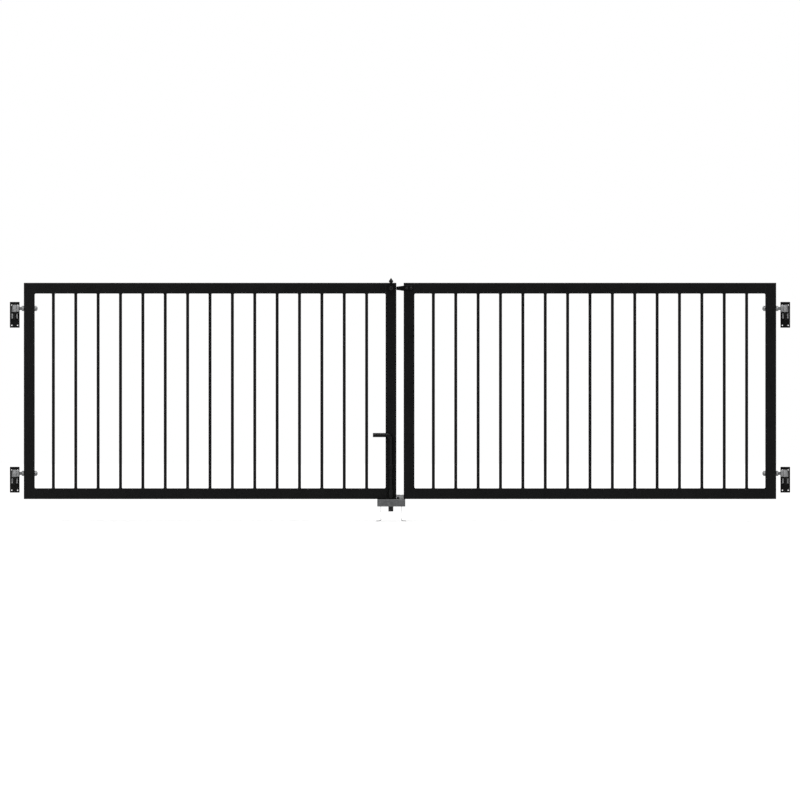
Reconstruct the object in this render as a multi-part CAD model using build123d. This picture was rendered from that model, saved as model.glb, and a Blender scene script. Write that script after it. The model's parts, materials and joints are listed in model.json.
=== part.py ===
"""Double garden gate: two square-tube leaves on eyebolt hinges, with a drop bolt,
a ground receiver and a turn latch.

Millimetres, +Z up.  X runs along the closed gate (0 at the meeting line), Y is the
depth (0 at the middle of the leaves, the viewer stands at -Y), Z is 0 at the ground.
"""
from build123d import *
import os

os.makedirs("parts", exist_ok=True)

# ---------------------------------------------------------------- driving sizes
# leaves
LEAF_Z0 = 34.6            # underside of a leaf above the ground
LEAF_H = 1004.4           # leaf height over the end caps
CLOSE_X = 17.0            # closing edge of a leaf from the middle (gap 34)
LEAF_W = 1730.0           # leaf width
TUBE = 50.0               # square tube
TUBE_T = 2.0
TUBE_R = 3.0
CAP_T = 3.0               # end cap plate
CAP_PLUG = 12.0
BAR_D = 14.0
BAR_N = 15
BAR_FIRST = (88.0, 87.0)  # first and last bar from the closing and the hinge stile

# hinges
HINGE_OFF = 43.0                      # hinge axis from the leaf's outer edge
AXIS_X = CLOSE_X + LEAF_W + HINGE_OFF # 1790: hinge axis
HINGE_Z = {"upper": 920.0, "lower": 154.0}
EYE_D = 27.0
EYE_H = 33.0
SHOULDER = (33.0, 24.0, 8.0)   # forged shoulder between the eye and the shank: height, depth, corners
SHOULDER_END = 20.5
EYE_BORE = 16.2
PIN_D = 16.0
SHANK_D = 16.0
SHANK_L = 106.5           # end of the threaded shank from the hinge axis
STILE_HOLE = 17.0
NUT_AF = 24.0
NUT_T = 10.0
PLATE_W = 45.0
PLATE_H = 120.0
PLATE_T = 5.0
PLATE_Y = 19.0            # front face of the plate
PLATE_UP = 30.5           # top of the plate above the eye centre
PLATE_HOLE = 5.5
PLATE_HOLE_X = 13.5
PLATE_HOLE_Z = (15.5, -78.5)   # corner holes from the eye centre
SADDLE_W = 29.0                # grooved block that holds the pintle on its plate
SADDLE_Y = 2.0                 # front of its cheeks
SADDLE_Z = (-46.5, -23.0)      # from the eye centre

# drop bolt
ROD_D = 20.0
ROD_X = -42.5
ROD_Y = -39.5
ROD_TIP = 35.0
ROD_TOP = 332.0           # handle axis
HANDLE_END = -126.0
ROD_BEND = 18.0
GUIDE_W = 28.0
GUIDE_LOW = (44.0, 74.0)
GUIDE_UP = (172.5, 192.5)
COLLAR_Z = (129.5, 137.5)
COLLAR_D = 28.0

# ground receiver
REC_X = (-105.7, 24.6)
REC_T = 4.0
REC_TOP = 33.8
REC_YF = -55.5            # middle of the front wall
REC_YR = 32.0             # middle of the rear upstand
REC_UP = 48.0
REC_BEND = 3.0            # bend radius on the middle of the plate
SOCKET_OUT = 23.0         # square socket tube
SOCKET_IN = 21.0
SOCKET_BOTTOM = -23.0
TAB_X = (-42.0, 23.5)
TAB_Y = (26.0, 30.0)
TAB_Z = (35.0, 55.3)
TAB_BOLT = (-9.0, 39.3)
LEG_L_X = -88.6
LEG_R_X = 7.4
LEG_T = 2.5
LEG_W = 30.0
FOOT_Z = -67.0
FOOT_L = 22.0

# latch
LATCH_X = -41.5
LATCH_Z = LEAF_Z0 + LEAF_H - 25.5
LEVER_Y = (-44.0, -38.0)
TONGUE_Y = (-30.0, -25.0)


# ---------------------------------------------------------------- helpers
def save(name, shape):
    """One node, one file; a list is kept as a group of solids."""
    if isinstance(shape, (list, tuple)):
        solids = []
        for s in shape:
            solids.extend(s.solids())
        shape = Compound(children=solids)
    else:
        found = shape.solids()
        if len(found) == 1:
            shape = found[0]
    shape.label = name
    export_step(shape, f"parts/{name}.step")


def box(x0, x1, y0, y1, z0, z1):
    return Pos((x0 + x1) / 2, (y0 + y1) / 2, (z0 + z1) / 2) * Box(x1 - x0, y1 - y0, z1 - z0)


def cyl_z(d, x, y, z0, z1):
    return Pos(x, y, (z0 + z1) / 2) * Cylinder(d / 2, z1 - z0)


def cyl_y(d, x, z, y0, y1):
    return Pos(x, (y0 + y1) / 2, z) * Rot(90, 0, 0) * Cylinder(d / 2, y1 - y0)


def cyl_x(d, y, z, x0, x1):
    return Pos((x0 + x1) / 2, y, z) * Rot(0, 90, 0) * Cylinder(d / 2, x1 - x0)


def sq_tube(length):
    """Square tube along +Z from z = 0."""
    outer = RectangleRounded(TUBE, TUBE, TUBE_R)
    inner = RectangleRounded(TUBE - 2 * TUBE_T, TUBE - 2 * TUBE_T, TUBE_R - TUBE_T)
    return extrude(outer - inner, amount=length)


def hex_nut(af, t, bore):
    """Nut along +Z from z = 0, two flats facing +-Y, corners turned off on both faces."""
    ac = af / 0.8660254
    body = extrude(RegularPolygon(af / 2, 6, major_radius=False, rotation=0), amount=t)
    turned = Pos(0, 0, t / 2) * Cylinder(ac / 2, t)
    turned = chamfer(turned.edges().filter_by(GeomType.CIRCLE), length=0.06 * af, length2=0.09 * af)
    nut = body & turned
    nut -= Pos(0, 0, t / 2) * Cylinder(bore / 2, t + 2)
    lead = bore / 2 + 0.6
    nut -= Pos(0, 0, 0.3) * Cone(lead, bore / 2 - 0.001, 0.6)
    nut -= Pos(0, 0, t - 0.3) * Cone(bore / 2 - 0.001, lead, 0.6)
    return nut


def washer(d, bore, t):
    return extrude(Circle(d / 2) - Circle(bore / 2), amount=t)


def along_minus_y(shape, x, y, z):
    """Put a shape built along +Z so that it runs along -Y from y."""
    return Pos(x, y, z) * Rot(90, 0, 0) * shape


def along_plus_y(shape, x, y, z):
    return Pos(x, y, z) * Rot(-90, 0, 0) * shape


# ---------------------------------------------------------------- one leaf
LEAF_TOP = LEAF_Z0 + LEAF_H
OUT_X = CLOSE_X + LEAF_W
BAR_X0 = CLOSE_X + TUBE + BAR_FIRST[0]
BAR_X1 = OUT_X - TUBE - BAR_FIRST[1]
BAR_PITCH = (BAR_X1 - BAR_X0) / (BAR_N - 1)


def stile(xc):
    return Pos(xc, 0, LEAF_Z0 + CAP_T) * sq_tube(LEAF_H - 2 * CAP_T)


def cap(xc, top):
    """End cap: a plate flush with the tube and a hollow plug inside it."""
    plate = extrude(RectangleRounded(TUBE, TUBE, TUBE_R), amount=CAP_T)
    plate = chamfer(plate.faces().sort_by(Axis.Z)[-1].edges(), 0.8)
    w = TUBE - 2 * TUBE_T - 0.4
    plug = extrude(
        RectangleRounded(w, w, TUBE_R - TUBE_T) - RectangleRounded(w - 5, w - 5, 1.0), amount=-CAP_PLUG
    )
    c = plate + plug
    if top:
        return Pos(xc, 0, LEAF_TOP - CAP_T) * c
    return Pos(xc, 0, LEAF_Z0 + CAP_T) * Rot(180, 0, 0) * c


def leaf(side, s):
    xh = s * (OUT_X - TUBE / 2)
    xc = s * (CLOSE_X + TUBE / 2)

    hinge_stile = stile(xh)
    for z in HINGE_Z.values():
        hinge_stile -= Pos(xh, 0, z) * Rot(0, 90, 0) * Cylinder(STILE_HOLE / 2, TUBE + 10)
    save(f"{side}_hinge_stile", hinge_stile)

    closing = stile(xc)
    if side == "left":
        closing -= cyl_y(10.5, LATCH_X, LATCH_Z, -30, 30)
    else:
        for x in TONGUE_SCREWS:
            closing -= cyl_y(8.5, x, LATCH_Z, -30, 30)
    save(f"{side}_closing_stile", closing)

    rail_len = LEAF_W - 2 * TUBE
    xm = s * (CLOSE_X + LEAF_W / 2)
    for what, z in (("bottom", LEAF_Z0 + TUBE / 2), ("top", LEAF_TOP - TUBE / 2)):
        rail = Pos(xm, 0, z) * Rot(0, 90, 0) * Pos(0, 0, -rail_len / 2) * sq_tube(rail_len)
        save(f"{side}_{what}_rail", rail)

    bars = []
    for i in range(BAR_N):
        bars.append(cyl_z(BAR_D, s * (BAR_X0 + i * BAR_PITCH), 0, LEAF_Z0 + TUBE, LEAF_TOP - TUBE))
    save(f"{side}_bars", bars)

    for what, x in (("hinge", xh), ("closing", xc)):
        save(f"{side}_{what}_cap_top", cap(x, True))
        save(f"{side}_{what}_cap_bottom", cap(x, False))

    for level, z in HINGE_Z.items():
        ax = s * AXIS_X
        eye = Pos(ax, 0, z) * Cylinder(EYE_D / 2, EYE_H)
        eye = chamfer(eye.edges().filter_by(GeomType.CIRCLE), 1.2)
        shank = Pos(0, 0, 9.5) * Cylinder(SHANK_D / 2, SHANK_L - 9.5, align=(Align.CENTER, Align.CENTER, Align.MIN))
        shank = chamfer(shank.edges().filter_by(GeomType.CIRCLE).sort_by(Axis.Z)[-1], 1.5)
        turn = Rot(0, 90, 0) if s < 0 else Rot(0, -90, 0)
        shoulder = Pos(0, 0, 9.5) * extrude(RectangleRounded(*SHOULDER), amount=SHOULDER_END - 9.5)
        shoulder = chamfer(shoulder.faces().sort_by(Axis.Z)[-1].edges(), 1.5)
        eyebolt = eye + Pos(ax, 0, z) * turn * shank + Pos(ax, 0, z) * turn * shoulder
        eyebolt -= Pos(ax, 0, z) * Cylinder(EYE_BORE / 2, EYE_H + 2)
        save(f"{side}_eyebolt_{level}", eyebolt)

        nuts = []
        for start in (HINGE_OFF - NUT_T, HINGE_OFF + TUBE):
            # flats face up and down
            n = turn * Pos(0, 0, start) * Rot(0, 0, 90) * hex_nut(NUT_AF, NUT_T, SHANK_D)
            nuts.append(Pos(ax, 0, z) * n)
        save(f"{side}_hinge_nuts_{level}", nuts)


TONGUE_SCREWS = (31.0, 52.0)
leaf("left", -1)
leaf("right", 1)

# ---------------------------------------------------------------- hinge plates, pintles and their saddles
saddles = []
for side, s in (("left", -1), ("right", 1)):
    for level, z in HINGE_Z.items():
        ax = s * AXIS_X
        zc = z + PLATE_UP - PLATE_H / 2
        face = RectangleRounded(PLATE_W, PLATE_H, 2.0)
        for sx in (-1, 1):
            for dz in PLATE_HOLE_Z:
                face -= Pos(sx * PLATE_HOLE_X, z + dz - zc) * Circle(PLATE_HOLE / 2)
        plate = extrude(face, amount=PLATE_T)
        plate = chamfer(plate.faces().sort_by(Axis.Z)[-1].outer_wire().edges(), 0.6)
        # sketch X -> X, sketch Y -> Z, thickness back towards +Y
        plate = Pos(ax, PLATE_Y + PLATE_T, zc) * Rot(90, 0, 0) * plate
        save(f"hinge_plate_{side}_{level}", plate)

        pin = cyl_z(PIN_D, ax, 0, z - 53.0, z + 20.0)
        pin = chamfer(pin.edges().filter_by(GeomType.CIRCLE).sort_by(Axis.Z)[-1], 2.5)
        pin = chamfer(pin.edges().filter_by(GeomType.CIRCLE).sort_by(Axis.Z)[0], 1.0)
        collar = cyl_z(26.0, ax, 0, z + SADDLE_Z[1], z - 16.8)
        collar = chamfer(collar.edges().filter_by(GeomType.CIRCLE), 0.8)
        save(f"pintle_{side}_{level}", pin + collar)

        # block with a round groove for the pintle, open to the front
        block = box(ax - SADDLE_W / 2, ax + SADDLE_W / 2, SADDLE_Y, PLATE_Y, z + SADDLE_Z[0], z + SADDLE_Z[1])
        front = [e for e in block.faces().sort_by(Axis.Y)[0].edges()]
        block = chamfer(front, 0.8)
        block -= cyl_z(PIN_D + 0.1, ax, 0, z - 80.0, z)
        saddles.append(block)
save("pintle_saddles", saddles)

# ---------------------------------------------------------------- ground receiver
mid_top = REC_TOP - REC_T / 2
path = FilletPolyline(
    (REC_YF, 0), (REC_YF, mid_top), (REC_YR, mid_top), (REC_YR, REC_UP), radius=REC_BEND
)
profile = trace(path, line_width=REC_T)
receiver = extrude(Plane.YZ * profile, amount=REC_X[1] - REC_X[0])
receiver = Pos(REC_X[0] - receiver.bounding_box().min.X, 0, 0) * receiver
h = SOCKET_OUT / 2 + 0.1
receiver -= box(ROD_X - h, ROD_X + h, ROD_Y - h, ROD_Y + h, REC_TOP - 12, REC_TOP + 12)
receiver -= cyl_y(6.4, TAB_BOLT[0], TAB_BOLT[1], REC_YR - 10, REC_YR + 10)
for end in (0, -1):
    receiver = chamfer(receiver.faces().sort_by(Axis.X)[end].edges(), 0.5)
save("ground_receiver", receiver)

tab_face = RectangleRounded(TAB_X[1] - TAB_X[0], TAB_Z[1] - TAB_Z[0], 2.5)
tab = extrude(tab_face, amount=TAB_Y[1] - TAB_Y[0])
tab = chamfer(tab.faces().sort_by(Axis.Z)[-1].edges(), 0.5)
tab = Pos((TAB_X[0] + TAB_X[1]) / 2, TAB_Y[1], (TAB_Z[0] + TAB_Z[1]) / 2) * Rot(90, 0, 0) * tab
tab -= cyl_y(6.4, TAB_BOLT[0], TAB_BOLT[1], 10, 40)
save("stop_tab", tab)

# hex screw from the front, nut behind the upstand
head = extrude(RegularPolygon(5.0, 6, major_radius=False), amount=4.0)
head_turned = chamfer(
    (Pos(0, 0, 2) * Cylinder(5.77, 4)).edges().filter_by(GeomType.CIRCLE).sort_by(Axis.Z)[-1], 0.6
)
head = head & head_turned
tab_screw = head + Pos(0, 0, -17.0) * Cylinder(3.0, 17.0, align=(Align.CENTER, Align.CENTER, Align.MIN))
save("stop_tab_bolt", along_minus_y(tab_screw, TAB_BOLT[0], TAB_Y[0], TAB_BOLT[1]))
save("stop_tab_nut", along_plus_y(hex_nut(10.0, 5.0, 6.0), TAB_BOLT[0], REC_YR + REC_T / 2, TAB_BOLT[1]))

socket_face = RectangleRounded(SOCKET_OUT, SOCKET_OUT, 1.2) - Rectangle(SOCKET_IN, SOCKET_IN)
socket = Pos(ROD_X, ROD_Y, SOCKET_BOTTOM) * extrude(socket_face, amount=REC_TOP - SOCKET_BOTTOM)
save("bolt_socket", socket)

for name, x, out in (("anchor_left", LEG_L_X, -1), ("anchor_right", LEG_R_X, 1)):
    leg = FilletPolyline((x, REC_TOP - REC_T), (x, FOOT_Z + LEG_T / 2), (x + out * FOOT_L, FOOT_Z), radius=5.0)
    strip = extrude(Plane.XZ * trace(leg, line_width=LEG_T), amount=LEG_W)
    bb = strip.bounding_box()
    strip = Pos(0, -8.0 - (bb.min.Y + bb.max.Y) / 2, 0) * strip
    save(name, strip)

# ---------------------------------------------------------------- drop bolt and guides
rod_path = FilletPolyline(
    (ROD_X, ROD_Y, ROD_TIP), (ROD_X, ROD_Y, ROD_TOP), (HANDLE_END, ROD_Y, ROD_TOP), radius=ROD_BEND
)
rod = sweep(Plane(origin=(ROD_X, ROD_Y, ROD_TIP), z_dir=(0, 0, 1)) * Circle(ROD_D / 2), path=rod_path)
rod = chamfer(rod.edges().filter_by(GeomType.CIRCLE).sort_by(Axis.Z)[0], 2.5)
rod = chamfer(rod.edges().filter_by(GeomType.CIRCLE).sort_by(Axis.X)[0], 1.5)
rod -= cyl_y(5.0, ROD_X, sum(COLLAR_Z) / 2, ROD_Y - ROD_D, ROD_Y - ROD_D / 2 + 1.4)
save("drop_rod", rod)

ring = cyl_z(COLLAR_D, ROD_X, ROD_Y, *COLLAR_Z)
ring = chamfer(ring.edges().filter_by(GeomType.CIRCLE), 0.8)
ring -= cyl_z(ROD_D + 0.04, ROD_X, ROD_Y, COLLAR_Z[0] - 2, COLLAR_Z[1] + 2)
ring -= cyl_y(5.0, ROD_X, sum(COLLAR_Z) / 2, ROD_Y - 20, ROD_Y - 2)
save("stop_collar", ring)

screw = cyl_y(4.98, ROD_X, sum(COLLAR_Z) / 2, ROD_Y - COLLAR_D / 2 + 0.3, ROD_Y - ROD_D / 2 + 1.3)
hexcut = along_minus_y(extrude(RegularPolygon(1.25, 6, major_radius=False), amount=4), ROD_X, ROD_Y - COLLAR_D / 2 + 2.6, sum(COLLAR_Z) / 2)
save("collar_screw", screw - hexcut)


def guide(z0, z1, bore):
    """D-shaped block flush on the front face of the closing stile."""
    depth = -TUBE / 2 - ROD_Y
    flat = Pos(ROD_X, ROD_Y + depth / 2) * Rectangle(GUIDE_W, depth)
    face = (flat + Pos(ROD_X, ROD_Y) * Circle(GUIDE_W / 2)) - Pos(ROD_X, ROD_Y) * Circle(bore / 2)
    block = Pos(0, 0, z0) * extrude(face, amount=z1 - z0)
    for end in (0, -1):
        rim = block.faces().sort_by(Axis.Z)[end].outer_wire().edges()
        block = chamfer([e for e in rim if e.center().Y < -TUBE / 2 - 0.1], 0.6)
    return block


save("bolt_guide_lower", guide(*GUIDE_LOW, ROD_D + 1.0))
save("bolt_guide_upper", guide(*GUIDE_UP, ROD_D + 4.0))
bush = cyl_z(ROD_D + 4.0, ROD_X, ROD_Y, *GUIDE_UP) + cyl_z(ROD_D + 7.0, ROD_X, ROD_Y, GUIDE_UP[1], GUIDE_UP[1] + 1.5)
bush -= cyl_z(ROD_D + 0.14, ROD_X, ROD_Y, GUIDE_UP[0] - 2, GUIDE_UP[1] + 5)
save("guide_bush", bush)

# ---------------------------------------------------------------- turn latch
spacer = washer(20.0, 10.4, -TUBE / 2 - LEVER_Y[1] - 0.2)
spacer = chamfer([e for e in spacer.edges().filter_by(GeomType.CIRCLE) if e.radius > 9], 0.5)
save("latch_spacer", along_minus_y(spacer, LATCH_X, -TUBE / 2, LATCH_Z))

lever_face = Circle(15.5) + Pos(0, 11.25) * Rectangle(10.0, 22.5)
lever_face = fillet([v for v in lever_face.vertices() if v.Y < 20], 4.0)
lever_face -= Circle(5.08)
lever = extrude(lever_face, amount=LEVER_Y[1] - LEVER_Y[0])
lever = chamfer(lever.faces().sort_by(Axis.Z)[-1].outer_wire().edges(), 0.7)
lever += Pos(0, 22.0, 3.0) * Rot(-90, 0, 0) * Cylinder(2.75, 10.0, align=(Align.CENTER, Align.CENTER, Align.MIN))
save("latch_lever", along_minus_y(lever, LATCH_X, LEVER_Y[1], LATCH_Z))

kz = LATCH_Z + 23.5
ky = sum(LEVER_Y) / 2
outline = Polyline(
    (2.8, 0), (6.4, 0), (7.0, 0.8), (7.2, 3.0), (10.2, 7.5), (10.2, 11.0), (1.1, 24.0), (0, 24.5), (0, 11.0), (2.8, 11.0), close=True
)
knob = revolve(Plane.XZ * make_face(outline), Axis.Z)
save("latch_knob", Pos(LATCH_X, ky, kz) * knob)

front = LEVER_Y[0] - 0.2
pivot_head = chamfer((Pos(0, 0, 4) * Cylinder(8.5, 8)).edges().filter_by(GeomType.CIRCLE).sort_by(Axis.Z)[-1], 1.0)
pivot_len = (TUBE / 2 + 1.5 + 8.0 + 3.0) - (front - 1.5)
pivot = pivot_head + Pos(0, 0, -pivot_len) * Cylinder(5.0, pivot_len, align=(Align.CENTER, Align.CENTER, Align.MIN))
pivot = chamfer(pivot.edges().filter_by(GeomType.CIRCLE).sort_by(Axis.Z)[0], 1.0)
pivot -= Pos(0, 0, 3.0) * extrude(RegularPolygon(4.0, 6, major_radius=False), amount=8)
save("latch_pivot_bolt", along_minus_y(pivot, LATCH_X, front - 1.5, LATCH_Z))

save(
    "latch_washers",
    [
        along_minus_y(washer(20.0, 10.4, 1.5), LATCH_X, front, LATCH_Z),
        along_plus_y(washer(20.0, 10.4, 1.5), LATCH_X, TUBE / 2, LATCH_Z),
    ],
)
save("latch_nut", along_plus_y(hex_nut(17.0, 8.0, 10.0), LATCH_X, TUBE / 2 + 1.5, LATCH_Z))

tongue_face = Polyline(
    (-16.6, -7.8), (17.0, -12.2), (61.0, -12.2), (61.0, 12.2), (17.0, 12.2), (-16.6, 7.8), close=True
)
tongue_face = make_face(tongue_face)
tongue_face = fillet([v for v in tongue_face.vertices() if v.X > 55], 2.5)
tongue_face = fillet([v for v in tongue_face.vertices() if v.X < -10], 1.5)
for x in TONGUE_SCREWS:
    tongue_face -= Pos(x, 0) * Circle(4.25)
tongue = extrude(tongue_face, amount=TONGUE_Y[1] - TONGUE_Y[0])
tongue = chamfer(tongue.faces().sort_by(Axis.Z)[-1].outer_wire().edges(), 1.0)
save("latch_tongue", along_minus_y(tongue, 0, TONGUE_Y[1], LATCH_Z))

button = Cylinder(7.0, 4.4, align=(Align.CENTER, Align.CENTER, Align.MIN))
button = fillet(button.edges().filter_by(GeomType.CIRCLE).sort_by(Axis.Z)[-1], 3.2)
screw_len = (TUBE / 2 + 1.5 + 6.5 + 2.5) - TONGUE_Y[0]
button += Pos(0, 0, -screw_len) * Cylinder(4.0, screw_len, align=(Align.CENTER, Align.CENTER, Align.MIN))
button -= Pos(0, 0, 1.8) * extrude(RegularPolygon(2.5, 6, major_radius=False), amount=6)
save("tongue_screws", [along_minus_y(button, x, TONGUE_Y[0], LATCH_Z) for x in TONGUE_SCREWS])
save("tongue_washers", [along_plus_y(washer(16.0, 8.4, 1.5), x, TUBE / 2, LATCH_Z) for x in TONGUE_SCREWS])
save("tongue_nuts", [along_plus_y(hex_nut(13.0, 6.5, 8.0), x, TUBE / 2 + 1.5, LATCH_Z) for x in TONGUE_SCREWS])
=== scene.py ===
"""Double garden gate: looks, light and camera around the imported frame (metres, +Z up)."""
import bpy
import bmesh
import json
import math
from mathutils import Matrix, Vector, noise


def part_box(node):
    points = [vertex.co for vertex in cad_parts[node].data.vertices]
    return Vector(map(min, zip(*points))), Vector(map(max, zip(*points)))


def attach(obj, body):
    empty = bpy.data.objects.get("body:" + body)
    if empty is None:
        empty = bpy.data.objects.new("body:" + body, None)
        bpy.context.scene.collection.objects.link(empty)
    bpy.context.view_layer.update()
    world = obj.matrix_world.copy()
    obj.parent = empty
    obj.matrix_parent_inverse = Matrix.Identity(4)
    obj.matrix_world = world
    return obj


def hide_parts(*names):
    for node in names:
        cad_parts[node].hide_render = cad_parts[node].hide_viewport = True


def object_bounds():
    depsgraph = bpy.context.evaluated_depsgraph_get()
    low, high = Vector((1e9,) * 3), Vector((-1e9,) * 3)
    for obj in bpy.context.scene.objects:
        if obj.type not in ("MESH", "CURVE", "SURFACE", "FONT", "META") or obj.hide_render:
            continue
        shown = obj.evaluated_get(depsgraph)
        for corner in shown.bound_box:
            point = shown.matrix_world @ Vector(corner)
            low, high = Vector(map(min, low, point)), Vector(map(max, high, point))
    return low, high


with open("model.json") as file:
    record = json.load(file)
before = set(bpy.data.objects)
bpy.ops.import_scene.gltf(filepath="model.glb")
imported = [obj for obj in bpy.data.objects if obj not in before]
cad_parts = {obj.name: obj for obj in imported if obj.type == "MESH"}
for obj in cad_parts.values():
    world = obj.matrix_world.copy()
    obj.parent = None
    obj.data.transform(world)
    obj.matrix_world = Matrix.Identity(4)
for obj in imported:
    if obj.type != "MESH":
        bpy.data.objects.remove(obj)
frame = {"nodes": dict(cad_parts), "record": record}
cad_lo, cad_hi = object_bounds()
nodes = frame["nodes"]
MM = 0.001


# ------------------------------------------------------------------ materials
class Mat:
    """A Principled material with a few shorthand node makers."""

    def __init__(self, name, **sockets):
        self.m = bpy.data.materials.new(name)
        self.m.use_nodes = True
        self.nt = self.m.node_tree
        self.n = self.nt.nodes
        self.b = self.n["Principled BSDF"]
        self.set(**sockets)
        self.co = self.n.new("ShaderNodeTexCoord").outputs["Object"]

    def set(self, **sockets):
        for k, v in sockets.items():
            self.b.inputs[k.replace("_", " ")].default_value = v

    def link(self, a, b):
        self.nt.links.new(a, b)

    def mapped(self, scale):
        mp = self.n.new("ShaderNodeMapping")
        mp.inputs["Scale"].default_value = scale
        self.link(self.co, mp.inputs["Vector"])
        return mp.outputs["Vector"]

    def noise(self, scale, detail=3.0, rough=0.55, vector=None, distortion=0.0):
        t = self.n.new("ShaderNodeTexNoise")
        t.inputs["Scale"].default_value = scale
        t.inputs["Detail"].default_value = detail
        t.inputs["Roughness"].default_value = rough
        t.inputs["Distortion"].default_value = distortion
        self.link(vector or self.co, t.inputs["Vector"])
        return t.outputs["Fac"]

    def cells(self, scale, feature="F1"):
        t = self.n.new("ShaderNodeTexVoronoi")
        t.feature = feature
        t.inputs["Scale"].default_value = scale
        self.link(self.co, t.inputs["Vector"])
        return t

    def ramp(self, fac, stops):
        r = self.n.new("ShaderNodeValToRGB")
        el = r.color_ramp.elements
        while len(el) < len(stops):
            el.new(0.5)
        for e, (p, c) in zip(el, stops):
            e.position = p
            e.color = (*c, 1.0) if len(c) == 3 else c
        self.link(fac, r.inputs["Fac"])
        return r.outputs["Color"]

    def span(self, fac, lo, hi, from_lo=0.3, from_hi=0.7):
        r = self.n.new("ShaderNodeMapRange")
        r.inputs["From Min"].default_value = from_lo
        r.inputs["From Max"].default_value = from_hi
        r.inputs["To Min"].default_value = lo
        r.inputs["To Max"].default_value = hi
        self.link(fac, r.inputs["Value"])
        return r.outputs["Result"]

    def mix(self, fac, a, b):
        x = self.n.new("ShaderNodeMix")
        x.data_type = "RGBA"
        for sock, v in ((x.inputs[0], fac), (x.inputs[6], a), (x.inputs[7], b)):
            if hasattr(v, "is_linked"):
                self.link(v, sock)
            elif isinstance(v, tuple):
                sock.default_value = (*v, 1.0)
            else:
                sock.default_value = v
        return x.outputs[2]

    def bump(self, height, strength, distance, normal=None):
        b = self.n.new("ShaderNodeBump")
        b.inputs["Strength"].default_value = strength
        b.inputs["Distance"].default_value = distance
        self.link(height, b.inputs["Height"])
        if normal is not None:
            self.link(normal, b.inputs["Normal"])
        return b.outputs["Normal"]

    def to(self, socket, out):
        self.link(out, self.b.inputs[socket])


def powder_coat(name, dark, light, rough_lo, rough_hi, spec, peel_depth):
    """Black powder coat: orange peel at about 2 mm over a finer grain, with a cloudy tone and sheen."""
    m = Mat(name, Specular_IOR_Level=spec)
    broad = m.noise(6.0, 5.0, 0.6)
    fine = m.noise(160.0, 3.0, 0.6)
    peel = m.noise(480.0, 2.0, 0.5)
    grain = m.noise(2600.0, 1.0, 0.5)
    tone = m.mix(m.span(fine, 0.0, 1.0), dark, light)
    m.to("Base Color", m.mix(m.span(broad, 0.0, 0.6), tone, dark))
    m.to("Roughness", m.span(m.noise(14.0, 4.0, 0.6), rough_lo, rough_hi))
    n1 = m.bump(peel, 0.2, peel_depth)
    m.to("Normal", m.bump(grain, 0.06, 0.0002, n1))
    return m.m


def black_oxide(name):
    m = Mat(name, Metallic=0.55, Specular_IOR_Level=0.35)
    broad = m.noise(60.0, 4.0, 0.6)
    fine = m.noise(900.0, 2.0, 0.5)
    m.to("Base Color", m.mix(m.span(broad, 0.0, 1.0), (0.010, 0.010, 0.011), (0.022, 0.021, 0.021)))
    m.to("Roughness", m.span(fine, 0.34, 0.5))
    m.to("Normal", m.bump(fine, 0.1, 0.0002))
    return m.m


def moulded_plastic(name):
    m = Mat(name, Specular_IOR_Level=0.3)
    broad = m.noise(20.0, 3.0)
    spark = m.cells(1500.0)
    fine = m.noise(2200.0, 2.0)
    m.to("Base Color", m.mix(m.span(broad, 0.0, 1.0), (0.007, 0.007, 0.007), (0.013, 0.013, 0.0135)))
    m.to("Roughness", m.span(fine, 0.52, 0.68))
    m.to("Normal", m.bump(spark.outputs["Distance"], 0.15, 0.0002))
    return m.m


def galvanised(name, dark, light, spangle, rough_lo, rough_hi, metallic=0.9):
    """Zinc: crystal spangle, faint run marks and a dull bloom."""
    m = Mat(name, Metallic=metallic, Specular_IOR_Level=0.4)
    cell = m.cells(spangle)
    shade = m.n.new("ShaderNodeSeparateColor")
    m.link(cell.outputs["Color"], shade.inputs["Color"])
    streak = m.noise(1.0, 4.0, 0.6, m.mapped((140.0, 140.0, 18.0)))
    bloom = m.noise(26.0, 4.0, 0.65)
    fine = m.noise(1400.0, 2.0)
    base = m.mix(shade.outputs["Red"], dark, light)
    base = m.mix(m.span(streak, 0.0, 0.35), base, light)
    m.to("Base Color", m.mix(m.span(bloom, 0.0, 0.4), base, dark))
    rough = m.n.new("ShaderNodeMath")
    rough.operation = "MULTIPLY_ADD"
    rough.inputs[1].default_value = (rough_hi - rough_lo)
    rough.inputs[2].default_value = rough_lo
    m.link(shade.outputs["Green"], rough.inputs[0])
    m.to("Roughness", rough.outputs[0])
    n1 = m.bump(cell.outputs["Distance"], 0.12, 0.0003)
    m.to("Normal", m.bump(fine, 0.1, 0.00015, n1))
    return m.m


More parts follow.
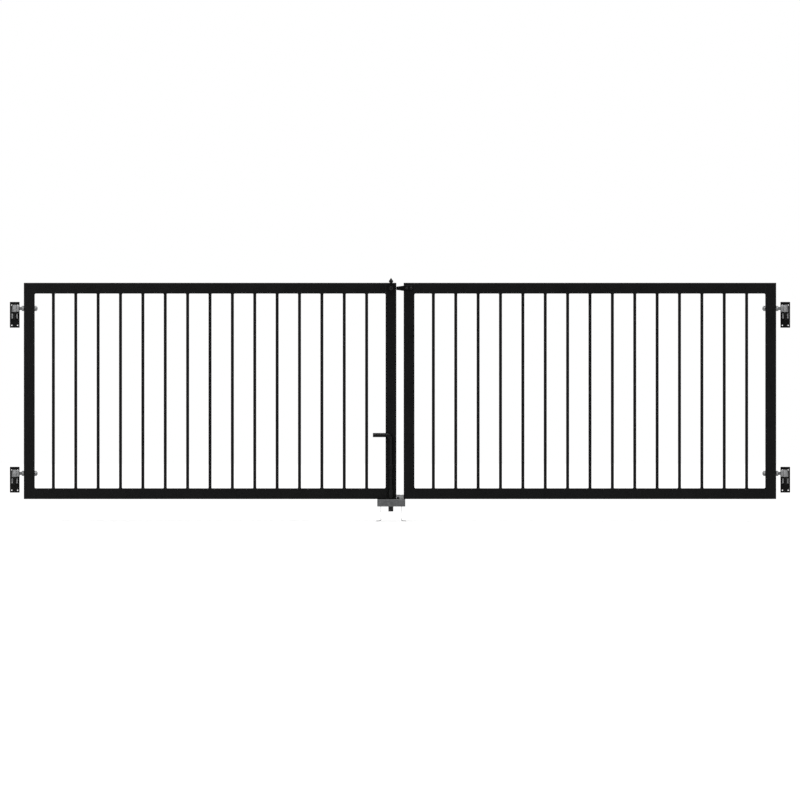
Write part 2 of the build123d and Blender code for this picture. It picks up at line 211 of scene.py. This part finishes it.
def footed_zinc(name, bright, pale, foot, z_lo, z_hi):
    """Bright plated strip whose bent foot, where it sits in the ground, is painted dark: a painted contact shadow."""
    m = Mat(name, Metallic=0.0, Specular_IOR_Level=0.5)
    part = m.n.new("ShaderNodeSeparateXYZ")
    m.link(m.co, part.inputs[0])
    patch = m.noise(220.0, 4.0, 0.6)
    fine = m.noise(1400.0, 2.0)
    streak = m.noise(1.0, 3.0, 0.6, m.mapped((900.0, 900.0, 40.0)))
    ragged = m.n.new("ShaderNodeMath")
    ragged.operation = "MULTIPLY_ADD"
    ragged.inputs[1].default_value = 0.006
    m.link(patch, ragged.inputs[0])
    m.link(part.outputs["Z"], ragged.inputs[2])
    # mask for the bottom of the strip, with a ragged edge: below it the colour turns to painted contact shadow
    low = m.span(ragged.outputs[0], 1.0, 0.0, z_lo, z_hi)
    clean = m.mix(m.span(streak, 0.0, 1.0), bright, pale)
    # painted contact shadow on the foot, patchy between two dark tones
    foot_shadow = m.mix(m.span(patch, 0.0, 1.0), foot, tuple(0.6 * c for c in foot))
    m.to("Base Color", m.mix(low, clean, foot_shadow))
    rough = m.n.new("ShaderNodeMath")
    rough.operation = "MULTIPLY_ADD"
    rough.inputs[1].default_value = 0.3
    rough.inputs[2].default_value = 0.36
    m.link(low, rough.inputs[0])
    m.to("Roughness", rough.outputs[0])
    m.to("Normal", m.bump(fine, 0.12, 0.0002))
    return m.m


BLACK_FRAME = powder_coat("black_frame", (0.0026, 0.0026, 0.0028), (0.0040, 0.0040, 0.0042), 0.34, 0.46, 0.135, 0.0005)
BLACK_HARDWARE = powder_coat("black_hardware", (0.0013, 0.0013, 0.0014), (0.0022, 0.0022, 0.0024), 0.22, 0.31, 0.175, 0.0004)
BLACK_FASTENER = black_oxide("black_fastener")
BLACK_PLASTIC = moulded_plastic("black_plastic")
ZINC = galvanised("zinc_fastener", (0.25, 0.2525, 0.256), (0.365, 0.369, 0.374), 420.0, 0.36, 0.50, 0.6)
PLATE = galvanised("galvanised_plate", (0.092, 0.094, 0.096), (0.152, 0.155, 0.158), 130.0, 0.44, 0.62, 0.5)
# near-white tone is painted light: lifted well above the plate's zinc so the tab, in shade behind the leaves, reads
# bright
TAB = galvanised("galvanised_tab", (0.84, 0.845, 0.85), (0.95, 0.953, 0.957), 160.0, 0.32, 0.48, 0.05)
# the third colour is painted contact shadow, darkening the strip below the two heights
BRIGHT = footed_zinc("bright_zinc", (0.78, 0.782, 0.784), (0.88, 0.881, 0.882), (0.034, 0.033, 0.032), -0.0605, -0.0555)
LOOK = {
    "black_frame": BLACK_FRAME,
    "black_hardware": BLACK_HARDWARE,
    "black_fastener": BLACK_FASTENER,
    "black_plastic": BLACK_PLASTIC,
    "zinc_fastener": ZINC,
    "galvanised_plate": PLATE,
    "galvanised_tab": TAB,
    "bright_zinc": BRIGHT,
}
for sub in frame["record"]["subparts"]:
    data = nodes[sub["node"]].data
    data.materials.clear()
    data.materials.append(LOOK[sub["material_slot"]])


# ------------------------------------------------------------------ mesh helpers
def piece(name, bm, body, slot, smooth=40.0, replaces=()):
    bmesh.ops.recalc_face_normals(bm, faces=bm.faces)
    me = bpy.data.meshes.new(name)
    bm.to_mesh(me)
    bm.free()
    ob = bpy.data.objects.new(name, me)
    bpy.context.scene.collection.objects.link(ob)
    me.materials.append(LOOK[slot])
    me.shade_smooth()
    me.set_sharp_from_angle(angle=math.radians(smooth))
    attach(ob, body)
    if replaces:
        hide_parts(*replaces)
    return ob


def ripple(s, seed):
    """Height of a weld bead along its run: overlapping scales with a little unevenness."""
    k = s % 1.0
    scale = 0.86 + 0.22 * math.sin(math.pi * (k ** 0.6))
    return scale * (1.0 + 0.10 * noise.noise(Vector((s * 0.9, seed * 7.31, 0.5))))


def bead(bm, rings, closed):
    """Skin a list of rings of points."""
    vs = [[bm.verts.new(p) for p in ring] for ring in rings]
    n = len(vs)
    for i in range(n if closed else n - 1):
        a, b = vs[i], vs[(i + 1) % n]
        for j in range(len(a)):
            jn = (j + 1) % len(a)
            bm.faces.new((a[j], a[jn], b[jn], b[j]))
    if not closed:
        bm.faces.new(vs[0])
        bm.faces.new(list(reversed(vs[-1])))


def section(corner, u, v, leg):
    """Fillet weld section in the corner of two faces that leave it along u and v."""
    pts = [corner - (u + v) * (0.15 * leg)]
    for k in range(5):
        t = k / 4
        a = u * (leg * (1 - t)) + v * (leg * t)
        swell = math.sin(math.pi * t) * 0.16 * leg
        pts.append(corner + a + (u + v).normalized() * swell)
    return pts


def straight_weld(bm, p0, p1, u, v, leg, pitch=2.2 * MM, seed=0.0):
    p0, p1, u, v = Vector(p0), Vector(p1), Vector(u).normalized(), Vector(v).normalized()
    length = (p1 - p0).length
    n = max(6, int(length / (pitch / 5)))
    rings = []
    for i in range(n + 1):
        t = i / n
        end = min(1.0, min(t, 1 - t) * length / (leg * 0.8) + 0.35)
        rings.append(section(p0.lerp(p1, t), u, v, leg * ripple(t * length / pitch, seed) * end))
    bead(bm, rings, False)


def seam_weld(bm, x, inward, y, z0, z1, seed, pitch=2.4 * MM):
    """Flat bead that fills the groove where a rail's end meets a stile's rounded corner."""
    z0, z1 = min(z0, z1), max(z0, z1)
    n = int((z1 - z0) / (pitch / 5))
    rings = []
    for i in range(n + 1):
        z = z0 + (z1 - z0) * i / n
        k = ripple((z - z0) / pitch, seed)
        crown = (0.10 + 0.42 * k) * MM * min(1.0, min(i, n - i) / 5 + 0.15)
        ring = [Vector((x, y * 22.4 * MM, z))]
        for u, lift in ((-2.9, -0.10), (-2.2, 0.45), (-1.1, 0.95), (0.0, 0.95), (0.8, 0.45), (1.5, -0.10)):
            wander = 0.12 * noise.noise(Vector((z * 300.0, seed, u)))
            ring.append(Vector((x + inward * (u + wander) * MM, y * (25.0 * MM + crown * lift), z)))
        rings.append(ring)
    bead(bm, rings, False)


def ring_weld(bm, centre, axis, radius, leg, seed, along, scales=11, seg=44):
    """Fillet weld round a bar of that radius, on a face whose outward normal is `along`."""
    axis = Vector(axis).normalized()
    e1 = axis.orthogonal().normalized()
    e2 = axis.cross(e1)
    along = Vector(along)
    rings = []
    for i in range(seg):
        a = 2 * math.pi * i / seg
        out = e1 * math.cos(a) + e2 * math.sin(a)
        k = leg * ripple(i / seg * scales, seed + 0.13 * math.sin(a))
        rings.append(section(Vector(centre) + out * radius, out, along, k))
    bead(bm, rings, True)


def arc_weld(bm, centre, radius, leg, seed, along, start, stop, scales=8, seg=40):
    """Fillet weld part of the way round an upright bar, from start to stop degrees (90 is +Y)."""
    along = Vector(along)
    rings = []
    for i in range(seg + 1):
        a = math.radians(start + (stop - start) * i / seg)
        out = Vector((math.cos(a), math.sin(a), 0.0))
        end = min(1.0, min(i, seg - i) / 5 + 0.3)
        rings.append(section(Vector(centre) + out * radius, out, along, leg * ripple(i / seg * scales, seed) * end))
    bead(bm, rings, False)


def lathe(bm, profile, origin, axis, side, seg=48, closed=False):
    """Turn (radius, height) points about axis through origin."""
    axis, e1 = Vector(axis).normalized(), Vector(side).normalized()
    e2 = axis.cross(e1)
    rows = []
    for r, h in profile:
        rows.append(
            [
                bm.verts.new(
                    Vector(origin) + axis * h + (e1 * math.cos(2 * math.pi * i / seg) + e2 * math.sin(2 * math.pi * i / seg)) * r
                )
                for i in range(seg)
            ]
        )
    pairs = list(zip(rows, rows[1:])) + ([(rows[-1], rows[0])] if closed else [])
    for a, b in pairs:
        for i in range(seg):
            j = (i + 1) % seg
            bm.faces.new((a[i], a[j], b[j], b[i]))
    return rows


def turned(bm, profile, origin, seg=72):
    """Closed solid of revolution about an upright axis; the first and last points lie on the axis."""
    rows = []
    for r, h in profile:
        if r == 0.0:
            rows.append([bm.verts.new(Vector(origin) + Vector((0, 0, h * MM)))])
        else:
            rows.append(
                [
                    bm.verts.new(Vector(origin) + Vector((r * math.cos(2 * math.pi * i / seg), r * math.sin(2 * math.pi * i / seg), h)) * MM)
                    for i in range(seg)
                ]
            )
    for a, b in zip(rows, rows[1:]):
        for i in range(seg):
            j = (i + 1) % seg
            if len(a) == 1:
                bm.faces.new((a[0], b[j], b[i]))
            elif len(b) == 1:
                bm.faces.new((a[i], a[j], b[0]))
            else:
                bm.faces.new((a[i], a[j], b[j], b[i]))


def rounded_block(bm, origin, axis, up, height, depth, corner, stations, per_corner=9):
    """Closed block along axis with rounded corners; a station is a distance and how far the outline shrinks there."""
    axis, up = Vector(axis).normalized(), Vector(up).normalized()
    across = axis.cross(up)
    rows = []
    for h, inset in stations:
        row = []
        for cu, cv, start in ((1, 1, 0), (-1, 1, 90), (-1, -1, 180), (1, -1, 270)):
            for k in range(per_corner):
                a = math.radians(start + 90 * k / (per_corner - 1))
                r = corner - inset
                u = cu * (height / 2 - corner) + r * math.cos(a)
                v = cv * (depth / 2 - corner) + r * math.sin(a)
                row.append(bm.verts.new(Vector(origin) + axis * h + up * u + across * v))
        rows.append(row)
    n = len(rows[0])
    for a, b in zip(rows, rows[1:]):
        for i in range(n):
            j = (i + 1) % n
            bm.faces.new((a[i], a[j], b[j], b[i]))
    bm.faces.new(list(reversed(rows[0])))
    bm.faces.new(rows[-1])


def screw_shank(bm, origin, axis, side, r_major, pitch, cut, run_out, seg=40, steps=10):
    """Closed shank with a screw thread over the two spans in `cut` and plain steel between them."""
    axis, e1 = Vector(axis).normalized(), Vector(side).normalized()
    e2 = axis.cross(e1)
    depth = 0.6134 * pitch
    heights = []
    for h0, h1 in cut:
        n = int(round((h1 - h0) / pitch * steps))
        heights += [(h0 + (h1 - h0) * k / n, True) for k in range(n + 1)]
        heights.append((h1 + 0.4 * MM, False))
    heights = heights[:-1]
    heights.insert(-1 - int(round((cut[1][1] - cut[1][0]) / pitch * steps)), (cut[1][0] - 0.4 * MM, False))
    end = cut[1][1]
    rows = []
    for h, threaded in heights:
        row = []
        for i in range(seg):
            a = 2 * math.pi * i / seg
            f = (h / pitch - i / seg) % 1.0
            tri = abs(2 * f - 1)                       # 1 at the crest, 0 in the root
            groove = 1.0 - min(1.0, max(0.0, (tri - 0.10) / 0.72))
            r = r_major - depth * groove if threaded else r_major - 0.75 * depth
            r = min(r, r_major - max(0.0, run_out - (end - h)))
            row.append(bm.verts.new(Vector(origin) + axis * h + (e1 * math.cos(a) + e2 * math.sin(a)) * r))
        rows.append(row)
    for a, b in zip(rows, rows[1:]):
        for i in range(seg):
            j = (i + 1) % seg
            bm.faces.new((a[i], a[j], b[j], b[i]))
    bm.faces.new(list(reversed(rows[0])))
    bm.faces.new(rows[-1])


def fuse(first, *others):
    """Join closed meshes into one, with no faces left inside."""
    made = []
    for bm in (first, *others):
        bmesh.ops.recalc_face_normals(bm, faces=bm.faces)
        me = bpy.data.meshes.new("fusing")
        bm.to_mesh(me)
        bm.free()
        ob = bpy.data.objects.new("fusing", me)
        bpy.context.scene.collection.objects.link(ob)
        made.append(ob)
    for other in made[1:]:
        mod = made[0].modifiers.new("join", "BOOLEAN")
        mod.operation = "UNION"
        mod.solver = "EXACT"
        mod.object = other
    joined = bpy.data.meshes.new_from_object(made[0].evaluated_get(bpy.context.evaluated_depsgraph_get()))
    bm = bmesh.new()
    bm.from_mesh(joined)
    bpy.data.meshes.remove(joined)
    for ob in made:
        me = ob.data
        bpy.data.objects.remove(ob)
        bpy.data.meshes.remove(me)
    return bm


# ------------------------------------------------------------------ sizes shared with the frame
LEAF_Z0, LEAF_TOP = 0.0346, 1.039
TUBE = 0.050
CLOSE_X, OUT_X = 0.017, 1.747
AXIS_X = 1.790
HINGE_Z = {"upper": 0.920, "lower": 0.154}
BAR_R = 0.007
BAR_X = [0.155 + i * (1.610 - 0.155) / 14 for i in range(15)]

# ------------------------------------------------------------------ leaves: welds and hinge eyes
for side, s in (("left", -1.0), ("right", 1.0)):
    body = f"{side}_leaf"

    # bars to rails
    bm = bmesh.new()
    for i, x in enumerate(BAR_X):
        for z, up in ((LEAF_Z0 + TUBE, 1.0), (LEAF_TOP - TUBE, -1.0)):
            ring_weld(bm, (s * x, 0, z), (0, 0, 1), BAR_R, 2.2 * MM, i * 1.7 + up, (0, 0, up))
    piece(f"{side}_bar_welds", bm, body, "black_frame", 60)

    # rails to stiles, inside corners and across the front and rear seams
    bm = bmesh.new()
    seed = 3.0
    for x, inward in ((s * (CLOSE_X + TUBE), s), (s * (OUT_X - TUBE), -s)):
        for z, away in ((LEAF_Z0 + TUBE, 1.0), (LEAF_TOP - TUBE, -1.0)):
            straight_weld(bm, (x, -0.0210, z), (x, 0.0210, z), (inward, 0, 0), (0, 0, away), 3.2 * MM, seed=seed)
            seed += 1.9
            for y in (-1.0, 1.0):
                seam_weld(bm, x, inward, y, z - away * 0.0475, z - away * 0.0028, seed)
                seed += 1.3
    piece(f"{side}_frame_welds", bm, body, "black_frame", 60)

    # eyebolts: forged eye, round shoulder and a cut thread, joined into one closed mesh
    for level, z in HINGE_Z.items():
        o = (s * AXIS_X, 0, z)
        toward = (-s, 0, 0)
        eye = bmesh.new()
        half, ro, ri, c = 16.5 * MM, 13.5 * MM, 8.1 * MM, 1.2 * MM
        lathe(
            eye,
            [
                (ri, -half + 0.8 * MM), (ri + 0.8 * MM, -half), (ro - c, -half), (ro - 0.35 * c, -half + 0.3 * c),
                (ro, -half + c), (ro, half - c), (ro - 0.35 * c, half - 0.3 * c), (ro - c, half),
                (ri + 0.8 * MM, half), (ri, half - 0.8 * MM),
            ],
            o, (0, 0, 1), (1, 0, 0), 72, closed=True,
        )
        shoulder = bmesh.new()
        rounded_block(
            shoulder, o, toward, (0, 0, 1), 33 * MM, 24 * MM, 8 * MM,
            [(9.5 * MM, 0.0), (18.8 * MM, 0.0), (19.5 * MM, 0.25 * MM), (20.1 * MM, 0.75 * MM), (20.5 * MM, 1.6 * MM)],
        )
        shank = bmesh.new()
        screw_shank(shank, o, toward, (0, 1, 0), 8.0 * MM, 2.0 * MM, ((18.0 * MM, 34.4 * MM), (100.0 * MM, 106.5 * MM)), 1.4 * MM)
        bm = fuse(eye, shoulder, shank)
        piece(f"{side}_eyebolt_{level}_threaded", bm, body, "zinc_fastener", 32, (f"{side}_eyebolt_{level}",))

# ------------------------------------------------------------------ hinge plates: saddle and pintle welds
bm = bmesh.new()
seed = 11.0
for s in (-1.0, 1.0):
    for z in HINGE_Z.values():
        ax = s * AXIS_X
        for sx in (-1.0, 1.0):
            x = ax + sx * 0.0145
            straight_weld(bm, (x, 0.019, z - 0.0455), (x, 0.019, z - 0.0240), (sx, 0, 0), (0, -1, 0), 3.4 * MM, 2.4 * MM, seed)
            seed += 2.3
        straight_weld(bm, (ax - 0.0135, 0.019, z - 0.0465), (ax + 0.0135, 0.019, z - 0.0465), (0, 0, -1), (0, -1, 0), 3.4 * MM, 2.4 * MM, seed)
        seed += 1.1
        arc_weld(bm, (ax, 0, z - 0.0465), 0.008, 2.2 * MM, seed, (0, 0, -1), 24.0, 156.0)
        seed += 1.7
piece("pintle_welds", bm, "fixed_side", "black_hardware", 60)

# ------------------------------------------------------------------ ground receiver: anchor welds
bm = bmesh.new()
seed = 23.0
for x in (-0.0886, 0.0074):
    for sx in (-1.0, 1.0):
        straight_weld(bm, (x + sx * 0.00125, -0.022, 0.0298), (x + sx * 0.00125, 0.006, 0.0298), (sx, 0, 0), (0, 0, -1), 2.6 * MM, seed=seed)
        seed += 1.7
piece("anchor_welds", bm, "fixed_side", "galvanised_plate", 60)

# ------------------------------------------------------------------ bolt guides: welds to the stile
bm = bmesh.new()
seed = 31.0
for z0, z1 in ((0.044, 0.074), (0.1725, 0.1925)):
    for sx in (-1.0, 1.0):
        straight_weld(
            bm, (-0.0425 + sx * 0.014, -0.025, z0 + 0.001), (-0.0425 + sx * 0.014, -0.025, z1 - 0.001), (sx, 0, 0), (0, -1, 0), 2.6 * MM, seed=seed
        )
        seed += 1.3
piece("bolt_guide_welds", bm, "left_leaf", "black_hardware", 60)

# ------------------------------------------------------------------ latch knob: turned, with eased edges
knob_lo, knob_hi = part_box("latch_knob")
bm = bmesh.new()
turned(
    bm,
    [
        (0.0, 11.0), (2.8, 11.0), (2.8, 0.4), (3.2, 0.0), (6.1, 0.0), (6.6, 0.2), (6.95, 0.8), (7.05, 1.6), (7.2, 3.0),
        (7.55, 3.7), (8.4, 5.0), (9.6, 6.7), (10.0, 7.4), (10.17, 8.0), (10.2, 8.6), (10.2, 10.0), (10.12, 10.7), (9.8, 11.4),
        (8.2, 13.75), (6.0, 16.9), (3.6, 20.3), (1.75, 22.9), (1.2, 23.6), (0.8, 24.1), (0.4, 24.4), (0.0, 24.5),
    ],
    ((knob_lo.x + knob_hi.x) / 2, (knob_lo.y + knob_hi.y) / 2, knob_lo.z),
)
piece("latch_knob_turned", bm, "latch", "black_hardware", 36, ("latch_knob",))

# ------------------------------------------------------------------ stage, light and camera
def area(name, loc, aim, sx, sy, power, colour=(1, 1, 1)):
    d = bpy.data.lights.new(name, "AREA")
    d.shape = "RECTANGLE"
    d.size, d.size_y = sx, sy
    d.energy = power
    d.color = colour
    ob = bpy.data.objects.new(name, d)
    bpy.context.scene.collection.objects.link(ob)
    ob.location = loc
    ob.rotation_euler = (Vector(aim) - Vector(loc)).to_track_quat("-Z", "Y").to_euler()
    ob.visible_camera = False
    return ob


floor_z = cad_lo.z - 0.0005
bm = bmesh.new()
bmesh.ops.create_grid(bm, x_segments=1, y_segments=1, size=90.0)
me = bpy.data.meshes.new("floor")
bm.to_mesh(me)
bm.free()
floor = bpy.data.objects.new("floor", me)
floor.location = (0, 0, floor_z)
bpy.context.scene.collection.objects.link(floor)
fm = bpy.data.materials.new("floor_pale")
fm.use_nodes = True
fn, fl = fm.node_tree.nodes, fm.node_tree.links
fn.clear()
matt = fn.new("ShaderNodeBsdfDiffuse")
matt.inputs["Color"].default_value = (0.8, 0.8, 0.8, 1)
# the lamps leave a pool of light round the gate, and past it the floor fades into the white surround
away = fn.new("ShaderNodeVectorMath")
away.operation = "LENGTH"
fl.new(fn.new("ShaderNodeTexCoord").outputs["Object"], away.inputs[0])
fade = fn.new("ShaderNodeMapRange")
fade.interpolation_type = "SMOOTHSTEP"
fade.inputs["From Min"].default_value = 1.0
fade.inputs["From Max"].default_value = 6.0
fade.inputs["To Min"].default_value = 0.31
fade.inputs["To Max"].default_value = 0.95
fl.new(away.outputs["Value"], fade.inputs["Value"])
glow = fn.new("ShaderNodeEmission")
fl.new(fade.outputs["Result"], glow.inputs["Strength"])
both = fn.new("ShaderNodeAddShader")
fl.new(matt.outputs[0], both.inputs[0])
fl.new(glow.outputs[0], both.inputs[1])
pick = fn.new("ShaderNodeMixShader")
fl.new(fn.new("ShaderNodeLightPath").outputs["Is Camera Ray"], pick.inputs[0])
fl.new(matt.outputs[0], pick.inputs[1])
fl.new(both.outputs[0], pick.inputs[2])
fl.new(pick.outputs[0], fn.new("ShaderNodeOutputMaterial").inputs["Surface"])
me.materials.append(fm)

area("key", (-4.4, -6.4, 2.3), (0, 0, 0.5), 4.5, 4.0, 130)
area("fill", (4.6, -6.4, 2.1), (0, 0, 0.5), 4.5, 4.0, 85)
area("top", (0, -1.2, 5.0), (0, 0, 0.3), 7.0, 4.0, 190)
area("back", (1.5, 6.5, 3.4), (0, 0, 0.5), 6.0, 3.0, 210)
area("gap", (0.05, -2.9, 4.2), (0, 0, 0.05), 0.6, 1.0, 44)

world = bpy.data.worlds.new("studio")
bpy.context.scene.world = world
world.use_nodes = True
wn = world.node_tree.nodes
wn.clear()
out = wn.new("ShaderNodeOutputWorld")
seen = wn.new("ShaderNodeBackground")
seen.inputs["Color"].default_value = (1, 1, 1, 1)
seen.inputs["Strength"].default_value = 1.0
lit = wn.new("ShaderNodeBackground")
lit.inputs["Color"].default_value = (1, 1, 1, 1)
lit.inputs["Strength"].default_value = 0.16
path = wn.new("ShaderNodeLightPath")
mixed = wn.new("ShaderNodeMixShader")
wl = world.node_tree.links
wl.new(path.outputs["Is Camera Ray"], mixed.inputs[0])
wl.new(lit.outputs[0], mixed.inputs[1])
wl.new(seen.outputs[0], mixed.inputs[2])
wl.new(mixed.outputs[0], out.inputs["Surface"])

VIEW_W = 3.716          # metres across the picture in the plane of the leaves
DIST = 100.0            # far off with a long lens: the photograph shows no side faces at the ends of the gate
cam_data = bpy.data.cameras.new("camera")
cam_data.sensor_width = 36.0
cam_data.lens = 36.0 * DIST / VIEW_W
cam_data.clip_start, cam_data.clip_end = 1.0, 400.0
cam = bpy.data.objects.new("camera", cam_data)
bpy.context.scene.collection.objects.link(cam)
cam.location = (0.0, -DIST, 0.4947)
cam.rotation_euler = (math.radians(90), 0, 0)
bpy.context.scene.camera = cam

vs = bpy.context.scene.view_settings
vs.view_transform = "Standard"
vs.look = "None"
vs.exposure = 0.0
vs.gamma = 1.0
